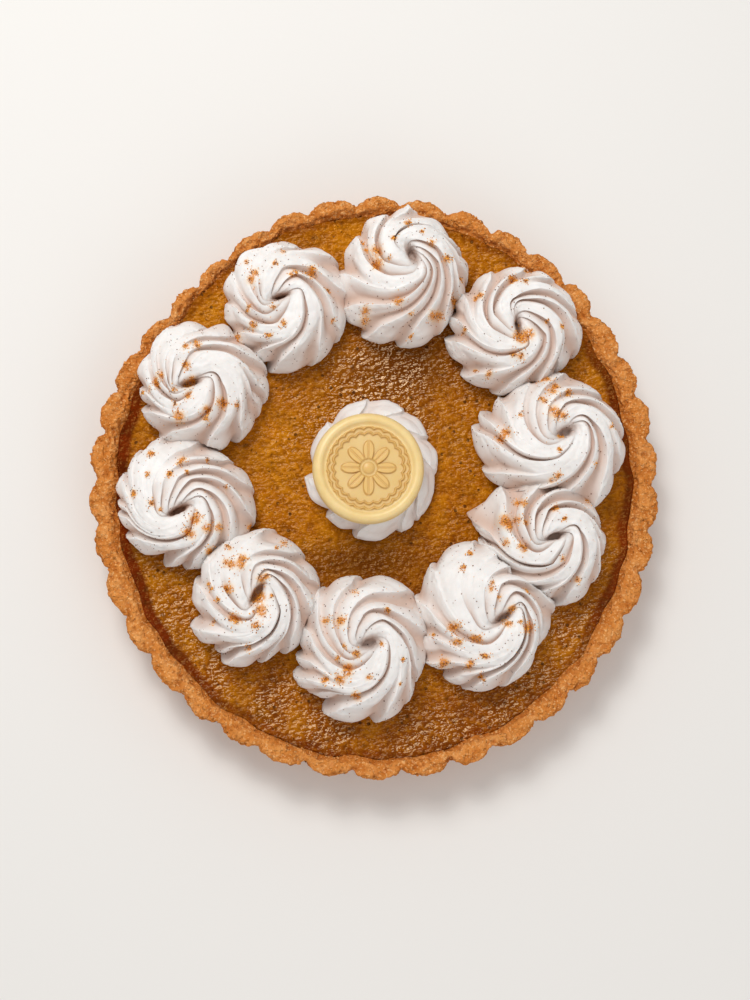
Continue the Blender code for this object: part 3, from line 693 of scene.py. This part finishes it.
def pipeSwirl(name, spec, outlineCorners, seed, presses=()):
    # a grid wrapped from the foot up over the crest and down into the pit, its columns along the ridges
    petals, rows, ridgeColumns = spec["petals"], piping["rows"], piping["ridgeColumns"]
    halfWide, halfTall = spec["half"]
    softness = spec.get("softness", 1)
    count = len(petals)
    columns = count * ridgeColumns
    piece, acrossGrid, row = addGrid(name, columns, rows)
    column = np.rint(acrossGrid * columns).astype(int)
    outline = smoothCurve(outlineCorners, rows - 1)
    slope = np.gradient(outline * (1, spec["tall"] / halfWide), axis=0)
    normal = np.column_stack([slope[:, 1], -slope[:, 0]]) / np.hypot(*slope.T)[:, None]
    turns = swirlTurns(outline, (halfWide + halfTall) / 2, spec["tall"])
    turns = turns - turns[np.argmax(outline[:, 0])]
    ring = np.clip(row - 1, 0, rows - 2)
    reachShare, tallShare, turn = outline[ring, 0], outline[ring, 1], turns[ring]
    outwards, upwards = normal[ring, 0], normal[ring, 1]
    aboveFoot = tallShare > 0.03
    # where each point lies between its own ridge and the next one
    knots, strength, fullness, notches, doubled, short = drawRidges(petals, seed)
    even = (column % ridgeColumns) / ridgeColumns
    share = even - 0.62 * np.sin(fullTurn * even) / fullTurn
    index = (column // ridgeColumns) % count
    after = (index + 1) % count
    label = knots[index] + share * (knots[index + 1] - knots[index])
    label = np.where(column == columns, knots[-1], label)
    onWall = ramp(tallShare, 0.62, -0.3) * (reachShare > 0.5)
    around = np.column_stack([np.cos(label) * 3, np.sin(label) * 3, reachShare * 5])
    wander = 0.05 * lumps(around, 1.6, seed + 20)
    turned = label + turn + wander * reachShare * (1 - onWall)
    calm = spec["calm"] * bellAt(turned, piping["calmSide"], piping["calmSpread"])
    calm = calm * (1 - onWall) * ramp(reachShare, 0.25, 0.2)
    # the grooves between the ridges, each with a finer line where the ridge is doubled
    dying = np.where(short[after], np.maximum(ramp(reachShare, 0.66, 0.26), 0.03), 1)
    kept = dying * (1 - np.minimum(1.2 * calm, 0.95))
    groove = ridgeGroove(share, np.clip(fullness[index] + 0.55 * onWall, 0, 1.15)) * kept
    line = np.exp(-((share - 0.46) / 0.07) ** 2) * doubled[index] * np.clip(reachShare * 2.4 - 0.6, 0, 1)
    groove = groove - 0.18 * line * kept
    power = strength[index] * (1 - share) + strength[after] * share
    ragged = 1 + piping["raggedShare"] * np.cos(turned - math.radians(piping["raggedSide"])) * reachShare
    topDepth = piping["grooveDepth"] * np.clip(1.9 * reachShare - 0.02, 0.12, 1) * power
    wallDepth = piping["wallDepth"] * ragged * notches[after]
    depth = (topDepth * (1 - onWall) + wallDepth * onWall) * softness
    crest = np.clip(1 - groove, 0, 1) ** 2
    angle = turned - piping["lean"] * (1 - 0.8 * onWall) * crest / np.maximum(reachShare * halfWide, 5)
    reach = -groove * depth * outwards
    drop = -groove * depth * upwards
    for side, spread, length, level in spec.get("tails", ()):
        near = np.clip(1 - np.abs(angleGap(angle, math.radians(side))) / math.radians(spread * 1.6), 0, 1)
        reach = reach + length * near * np.clip(1 - np.abs(tallShare - level) / 0.5, 0, 1)
    # the foot follows the petals, and the top eases back to a plain oval
    oval = 1 / np.hypot(np.cos(angle) / halfWide, np.sin(angle) / halfTall)
    wide = oval + (petalReach(petals, index, share) - oval) * ramp(reachShare, 0.45, 0.45) ** 1.5
    out = np.maximum(wide * reachShare + reach, 0.5)
    # the pit is squeezed to a slit, and lies to one side of the middle
    slide = 1 - reachShare
    slitTurn = math.radians(spec["slit"][0])
    slitCos, slitSin = math.cos(slitTurn), math.sin(slitTurn)
    squeezed = spec["slit"][1] * ramp(reachShare, 0.42, -0.28)
    along = out * np.cos(angle - slitTurn) * (1 + 0.35 * squeezed)
    across = out * np.sin(angle - slitTurn) * (1 - 0.62 * squeezed)
    points = np.column_stack([
        spec["middle"][0] + slide * spec["pit"][0] + along * slitCos - across * slitSin,
        spec["middle"][1] + slide * spec["pit"][1] + along * slitSin + across * slitCos,
        creamBase + tallShare * spec["tall"] + np.where(aboveFoot, drop, 0),
    ])
    # soft unevenness of the whole swirl, finer lines along the ridges, torn crests
    sway = 0.9 * lumps(points, 16, seed) + 0.35 * lumps(points, 6, seed + 40)
    sway = sway + 0.2 * lumps(points, 2.8, seed + 90)
    combed = 0.12 * np.cos(fullTurn * 5 * share) * np.clip(reachShare * 2 - 0.5, 0, 1)
    combed = combed * (0.4 + 0.6 * lumps(points, 9, seed + 60))
    torn = 0.38 * lumps(points, 1.6, seed + 80) * crest ** 2
    swell = (sway - 0.4) * (1 - 0.8 * onWall) + combed + torn + 1.1 * calm
    pushPoints(points, angle, swell * outwards, swell * upwards * aboveFoot)
    for neighbour in presses:
        points = pressAway(points, rosettes[neighbour - 1])
    points = insideCrust(points)
    # the grid's first row closes the foot, its last one the pit
    points[row == 0] = (*spec["middle"], creamBase)
    points[row == rows] = points[row == rows - 1].mean(axis=0)
    # painted shade in the grooves and the pit, for the material
    pitShade = ramp(reachShare, 0.2, -0.14) * (0.5 + 0.5 * spec["shade"])
    paint(piece, "groove", groove * np.minimum(1, reachShare * 3) * softness + pitShade)
    paint(piece, "pit", (0.22 + 0.78 * spec["shade"]) * ramp(reachShare, 0.15, -0.09))
    writePoints(piece, points * mm)
    closeSeams(piece)
    return piece


def creamMaterial():
    material, tree, shader = newMaterial("whippedCream", {
        **softLight, "Roughness": 0.5, "Specular IOR Level": 0.35, "Subsurface Radius": (1, 0.8, 0.7)})
    coords, tones = objectCoords(tree), piping["tones"]
    base = rampOf(noiseOf(coords, 130, 4), *piping["cream"])
    # painted shade, warm in the grooves and brown in the pit, where the brown also stands for spice
    base = tintOf(base, "groove", 0.86, tones["groove"])
    base = tintOf(base, "pit", 0.8, tones["pit"])
    # a powdery stain under the grains of spice
    dusted = timesOf(attributeOf(tree, "spice"), noiseMask(coords, 900, 3, 0.35, 0.47))
    spiced = rampOf(attributeOf(tree, "spice"), *piping["spiced"])
    base = tintOf(base, dusted, 0.92, spiced)
    base = tintOf(base, noiseMask(coords, 1300, 2, 0.735, 0.76), 0.65, tones["speck"])
    link(base, shader.inputs["Base Color"])
    bumpOf(shader, noiseOf(coords, 600, 4), 0.0002, 0.35)
    return material


spice = {
    "clumpGrains": 30, "clumpSpecks": 4, "strayClumps": 5, "dotsEach": 90, "specksEach": 170,
    "grainSize": (0.1, 0.32), "speckSize": (0.15, 0.31), "scatter": 0.1,
    "ground": ((0.38, (0.16, 0.04, 0.008)), (0.46, (0.68, 0.205, 0.011)), (0.57, (0.93, 0.45, 0.055))),
    "dark": ((0.38, (0.06, 0.028, 0.016)), (0.46, (0.14, 0.06, 0.03)), (0.57, (0.26, 0.11, 0.045))),
}


def surfaceOf(piece):
    # middle, normal and area of every face, in millimetres
    faces = piece.data.polygons
    areas = readValues(faces, "area", 1)[:, 0]
    return readValues(faces, "center") / mm, readValues(faces, "normal"), areas / mm ** 2


def pickPlaces(surface, count, draw, steepest=0.25):
    centres, normals, areas = surface
    weight = areas * (normals[:, 2] > steepest)
    return draw.choice(len(centres), size=count, p=weight / weight.sum())


def turnRows(draw, count):
    # a random turn for each grain
    q = draw.normal(size=(count, 4))
    q /= np.linalg.norm(q, axis=1)[:, None]
    w, x, y, z = q.T
    return np.stack([
        np.stack([1 - 2 * (y * y + z * z), 2 * (x * y - z * w), 2 * (x * z + y * w)], -1),
        np.stack([2 * (x * y + z * w), 1 - 2 * (x * x + z * z), 2 * (y * z - x * w)], -1),
        np.stack([2 * (x * z - y * w), 2 * (y * z + x * w), 1 - 2 * (x * x + y * y)], -1)], 1)


def dropGrains(heap, surface, chosen, sizeRange, lift, draw, shrink=1, scatter=0):
    # one grain on each chosen face: its place, raised by a share of its size, then its size
    centres, normals, _ = surface
    grains = draw.uniform(*sizeRange, size=len(chosen)) * shrink
    places = centres[chosen] + normals[chosen] * grains[:, None] * lift
    if scatter:
        places += draw.normal(scale=scatter, size=places.shape)
    heap.append(np.column_stack([places, grains]))


def scatterGrains(name, grains, draw, material, slotName):
    # every grain is its own small closed shape, all in one mesh
    deselectAll()
    bpy.ops.mesh.primitive_ico_sphere_add(subdivisions=1, radius=1, location=(0, 0, 0))
    piece = bpy.context.object
    piece.name = name
    shape = readPoints(piece)
    shape = np.float32(shape * (1 + 0.3 * lumps(shape, 0.7, 5))[:, None])
    faces = np.array([list(face.vertices) for face in piece.data.polygons])
    count = len(grains)
    stretch = draw.uniform(0.7, 1.25, size=(count, 1, 3))
    turned = np.einsum("nij,nvj->nvi", turnRows(draw, count), shape[None] * stretch)
    points = turned * grains[:, 3, None, None] + grains[:, None, :3]
    allFaces = (faces[None] + (np.arange(count) * len(shape))[:, None, None]).reshape(-1, 3)
    piece.data.clear_geometry()
    piece.data.from_pydata((points.reshape(-1, 3) * mm).tolist(), [], allFaces.tolist())
    piece.data.update()
    finishPiece(piece, material, slotName)


def spiceMaterial(name, tones):
    material, tree, shader = newMaterial(name, {"Roughness": 0.85})
    coords = objectCoords(tree)
    base = rampOf(noiseOf(coords, 1300, 3), *tones)
    link(base, shader.inputs["Base Color"])
    bumpOf(shader, noiseOf(coords, 4000, 2), 0.00005, 0.5)
    return material


def placeClumps(number, surface, draw):
    # each clump of the table falls as two smaller ones, and a few stray ones land anywhere
    middleX, middleY = rosettes[number - 1]["middle"]
    clumps = []
    for x, y, size in spiceClumps[number]:
        for _ in range(2):
            offset = draw.normal(scale=0.5 * size, size=2)
            clumps.append((middleX + x + offset[0], middleY + y + offset[1], size * draw.uniform(0.4, 0.75)))
    for stray in pickPlaces(surface, spice["strayClumps"], draw, 0.45):
        clumps.append((*surface[0][stray, :2], draw.uniform(0.5, 1.1)))
    return clumps


def dustWithSpice(swirls):
    draw = np.random.default_rng(5)
    ground, dark = [], []
    for number, swirl in enumerate(swirls, start=1):
        surface = surfaceOf(swirl)
        centres, normals, _ = surface
        vertices = readPoints(swirl) / mm
        upper = np.flatnonzero(normals[:, 2] > 0.05)
        dust = np.zeros(len(vertices))
        for x, y, size in placeClumps(number, surface, draw):
            dust += 1.5 * np.exp(-(np.hypot(vertices[:, 0] - x, vertices[:, 1] - y) / (1.1 * size)) ** 2)
            away = np.hypot(centres[upper, 0] - x, centres[upper, 1] - y)
            within = away < 3 * size
            near = upper[within]
            weight = np.exp(-(away[within] / (0.85 * size)) ** 2) + 0.03
            chance = weight / weight.sum()
            count = int(spice["clumpGrains"] * size * draw.uniform(0.8, 1.3)) + 3
            chosen = draw.choice(near, size=count, p=chance)
            dropGrains(ground, surface, chosen, spice["grainSize"], 0.5, draw, scatter=spice["scatter"])
            # a few dark specks fell with each clump
            chosen = draw.choice(near, size=spice["clumpSpecks"], p=chance)
            dropGrains(dark, surface, chosen, spice["speckSize"], 0.6, draw)
        paint(swirl, "spice", dust)
        dots = pickPlaces(surface, spice["dotsEach"], draw)
        dropGrains(ground, surface, dots, spice["grainSize"], 0.4, draw, shrink=0.7)
        dots = pickPlaces(surface, spice["specksEach"], draw, 0.05)
        dropGrains(dark, surface, dots, spice["speckSize"], 0.2, draw)
    for name, heap, tones in (("spiceGrains", ground, "ground"), ("darkSpecks", dark, "dark")):
        scatterGrains(name, np.vstack(heap), draw, spiceMaterial(tones + "Spice", spice[tones]), "spice")


disc = {
    "middle": (-5, 3.7), "radius": 24.5, "thick": 6.2, "aboveCream": 0.6, "waves": 24,
    "outerLine": 18, "innerLine": 15.4, "petals": 8, "petalReach": 12.4, "eye": 2.7,
    "columns": 384, "rows": 110, "edgeRows": 36,
    "chocolate": ((0.35, (0.79, 0.585, 0.245)), (0.65, (0.84, 0.655, 0.32))),
    "tones": {
        "face": (0.68, 0.43, 0.135), "raised": (0.74, 0.44, 0.12), "outline": (0.5, 0.24, 0.04),
        "speck": (0.6, 0.36, 0.1),
    },
}
# share of the radius and of the thickness, from the foot over the raised border to the sunken face
discOutline = (
    (0.966, 0), (1, 0.3), (0.985, 0.68), (0.94, 0.92), (0.885, 1), (0.84, 0.95), (0.805, 0.8),
    (0.785, 0.745), (0.76, 0.74),
)


def discRelief(radius, angle):
    # two scalloped lines, then a plain eight-petalled flower with a round eye
    wave = np.abs(np.cos(disc["waves"] / 2 * angle)) * 2 - 1.2
    outerRing = np.exp(-((radius - disc["outerLine"] - 0.5 * wave) / 0.42) ** 2)
    innerRing = np.exp(-((radius - disc["innerLine"] - 0.5 * wave) / 0.38) ** 2)
    petalEdge = disc["petalReach"] * np.abs(np.cos(disc["petals"] / 2 * angle)) ** 0.42
    inPetal = ramp(petalEdge - radius, 0, 0.8) * ramp(radius, 3.6, 0.7)
    vein = np.exp(-(np.sin(disc["petals"] / 2 * angle) * radius / disc["petals"] * 2 / 0.34) ** 2)
    eye = np.sqrt(np.clip(1 - (radius / disc["eye"]) ** 2, 0, 1))
    rings = np.clip(1.5 * outerRing, 0, 1) + np.clip(1.5 * innerRing, 0, 1)
    return 0.95 * rings + 0.9 * inPetal * (1 - 0.45 * vein) + 0.9 * eye


def buildDisc():
    rows, edgeRows = disc["rows"], disc["edgeRows"]
    piece, across, row = addGrid("chocolateDisc", disc["columns"], rows)
    angle = across * fullTurn
    outline = smoothCurve(np.array(discOutline) * (disc["radius"], disc["thick"]), edgeRows)
    ring = np.clip(row - 1, 0, edgeRows - 1)
    radius = np.where(row == 0, 0, outline[ring, 0])
    height = np.where(row == 0, 0, outline[ring, 1])
    onFace = row > edgeRows
    radius = np.where(onFace, ramp(row, rows, edgeRows - rows) * outline[-1, 0], radius)
    relief = discRelief(radius, angle) * onFace
    # how steep the relief is, which darkens its outlines as painted shade
    step = 0.28
    turnStep = step / np.maximum(radius, 1)
    steepness = np.abs(discRelief(radius + step, angle) - discRelief(radius - step, angle))
    steepness += np.abs(discRelief(radius, angle + turnStep) - discRelief(radius, angle - turnStep))
    height = height + relief
    raised = height + creamBase + 0.8 + mound["tall"] + disc["aboveCream"]
    points = pointsRound(disc["middle"], angle, radius, raised)
    points[:, 2] += 0.12 * lumps(points, 9, 61) * (height > 1)
    # painted shade on the sunken face and on the relief's steep outlines, and the raised relief painted
    # darker
    paint(piece, "raised", relief / 0.8)
    paint(piece, "sunkenFaceShade", onFace * 1)
    paint(piece, "reliefFlankShade", steepness / 0.9 * onFace)
    writePoints(piece, points * mm)
    closeSeams(piece)
    finishPiece(piece, discMaterial(), "disc", "moulded_disc")


def discMaterial():
    material, tree, shader = newMaterial("paleChocolate", {
        **softLight, "Roughness": 0.38, "Subsurface Radius": (1, 0.7, 0.3)})
    coords, tones = objectCoords(tree), disc["tones"]
    base = rampOf(noiseOf(coords, 90, 4), *disc["chocolate"])
    # painted shade on the sunken face and the outlines, and the raised relief painted darker
    base = tintOf(base, "sunkenFaceShade", 0.5, tones["face"])
    base = tintOf(base, "raised", 0.5, tones["raised"])
    base = tintOf(base, "reliefFlankShade", 0.55, tones["outline"])
    base = tintOf(base, noiseMask(coords, 900, 2, 0.74, 0.78), 0.35, tones["speck"])
    link(base, shader.inputs["Base Color"])
    bumpOf(shader, noiseOf(coords, 500, 4), 0.00015, 0.4)
    return material


crumbs = {"count": 420, "size": (0.25, 0.75), "lowest": 24.5}


def scatterCrumbs(crustPiece):
    draw = np.random.default_rng(9)
    centres, normals, areas = surfaceOf(crustPiece)
    high = centres[:, 2] > crumbs["lowest"]
    upward = np.where(high[:, None], normals, -1)
    chosen = pickPlaces((centres, upward, areas), crumbs["count"], draw, 0.1)
    sizes = draw.uniform(*crumbs["size"], size=crumbs["count"])
    grains = np.column_stack([centres[chosen] + normals[chosen] * 0.05, sizes])
    scatterGrains("crustCrumbs", grains, draw, crustPiece.data.materials[0], "crust")


stage = {
    "distance": 700, "target": (-1.207, -8.679, 30), "tilt": 8, "toward": (-0.5, -0.866), "lens": 56.7,
    "floor": (0.8, 0.79, 0.77), "sky": 0.56, "key": 8.6,
    "window": (-0.36, 0.63, 1.12), "side": (0.4, -1, 0.75),
}


def addObject(name, data):
    thing = bpy.data.objects.new(name, data)
    bpy.context.scene.collection.objects.link(thing)
    return thing


def placeCamera():
    tilt = math.radians(stage["tilt"])
    towardX, towardY = stage["toward"]
    back = Vector((math.sin(tilt) * towardX, math.sin(tilt) * towardY, math.cos(tilt))).normalized()
    right = Vector((0, 1, 0)).cross(back).normalized()
    up = back.cross(right)
    place = Vector(stage["target"]) + back * stage["distance"]
    turn = Matrix((right, up, back)).transposed()
    data = bpy.data.cameras.new("tableCamera")
    data.lens = stage["lens"]
    data.sensor_width = 36
    camera = addObject("tableCamera", data)
    camera.matrix_world = Matrix.Translation(place * mm) @ turn.to_4x4()
    bpy.context.scene.camera = camera


def areaLight(name, place, size, energy, colour):
    data = bpy.data.lights.new(name, "AREA")
    data.shape = "DISK"
    data.size = size
    data.energy = energy
    data.color = colour
    light = addObject(name, data)
    light.location = place
    light.rotation_euler = (Vector((0, 0, 0.03)) - Vector(place)).to_track_quat("-Z", "Y").to_euler()


def setStage():
    scene = bpy.context.scene
    scene.view_settings.view_transform = "Standard"
    placeCamera()
    key, daylight = stage["key"], (1, 0.985, 0.96)
    areaLight("windowLight", stage["window"], 0.6, key, daylight)
    areaLight("windowGlint", stage["window"], 0.14, key * 0.16, daylight)
    areaLight("sideFill", stage["side"], 0.9, key * 0.3, (1, 0.97, 0.95))
    world = bpy.data.worlds.new("softRoom")
    world.use_nodes = True
    setUp(world.node_tree.nodes["Background"], {"Color": (1, 0.98, 0.965, 1), "Strength": stage["sky"]})
    scene.world = world
    deselectAll()
    bpy.ops.mesh.primitive_plane_add(size=6, location=(0, 0, 0))
    floor = bpy.context.object
    floor.name = "floor"
    material = newMaterial("paleFloor", {"Roughness": 0.9, "Base Color": (*stage["floor"], 1)})[0]
    floor.data.materials.append(material)


setStage()
print("stage set")
crustPiece = buildCrust()
print("crust baked")
buildFilling()
print("filling set")
cream = creamMaterial()
swirls = []
for number, spec in enumerate(rosettes, start=1):
    presses = [upper for lower, upper in pressedPairs if lower == number]
    swirl = pipeSwirl(f"creamRosette{number:02d}", spec, rosetteOutline, number, presses)
    swirls.append(swirl)
    finishPiece(swirl, cream, "cream", f"rosette_{number:02d}")
centre = pipeSwirl("creamMound", mound, moundOutline, 31)
finishPiece(centre, cream, "cream", "centre_swirl")
paint(centre, "spice", np.zeros(len(centre.data.vertices)))
print("cream piped")
dustWithSpice(swirls)
print("spice dusted")
buildDisc()
scatterCrumbs(crustPiece)
print("disc and crumbs placed")
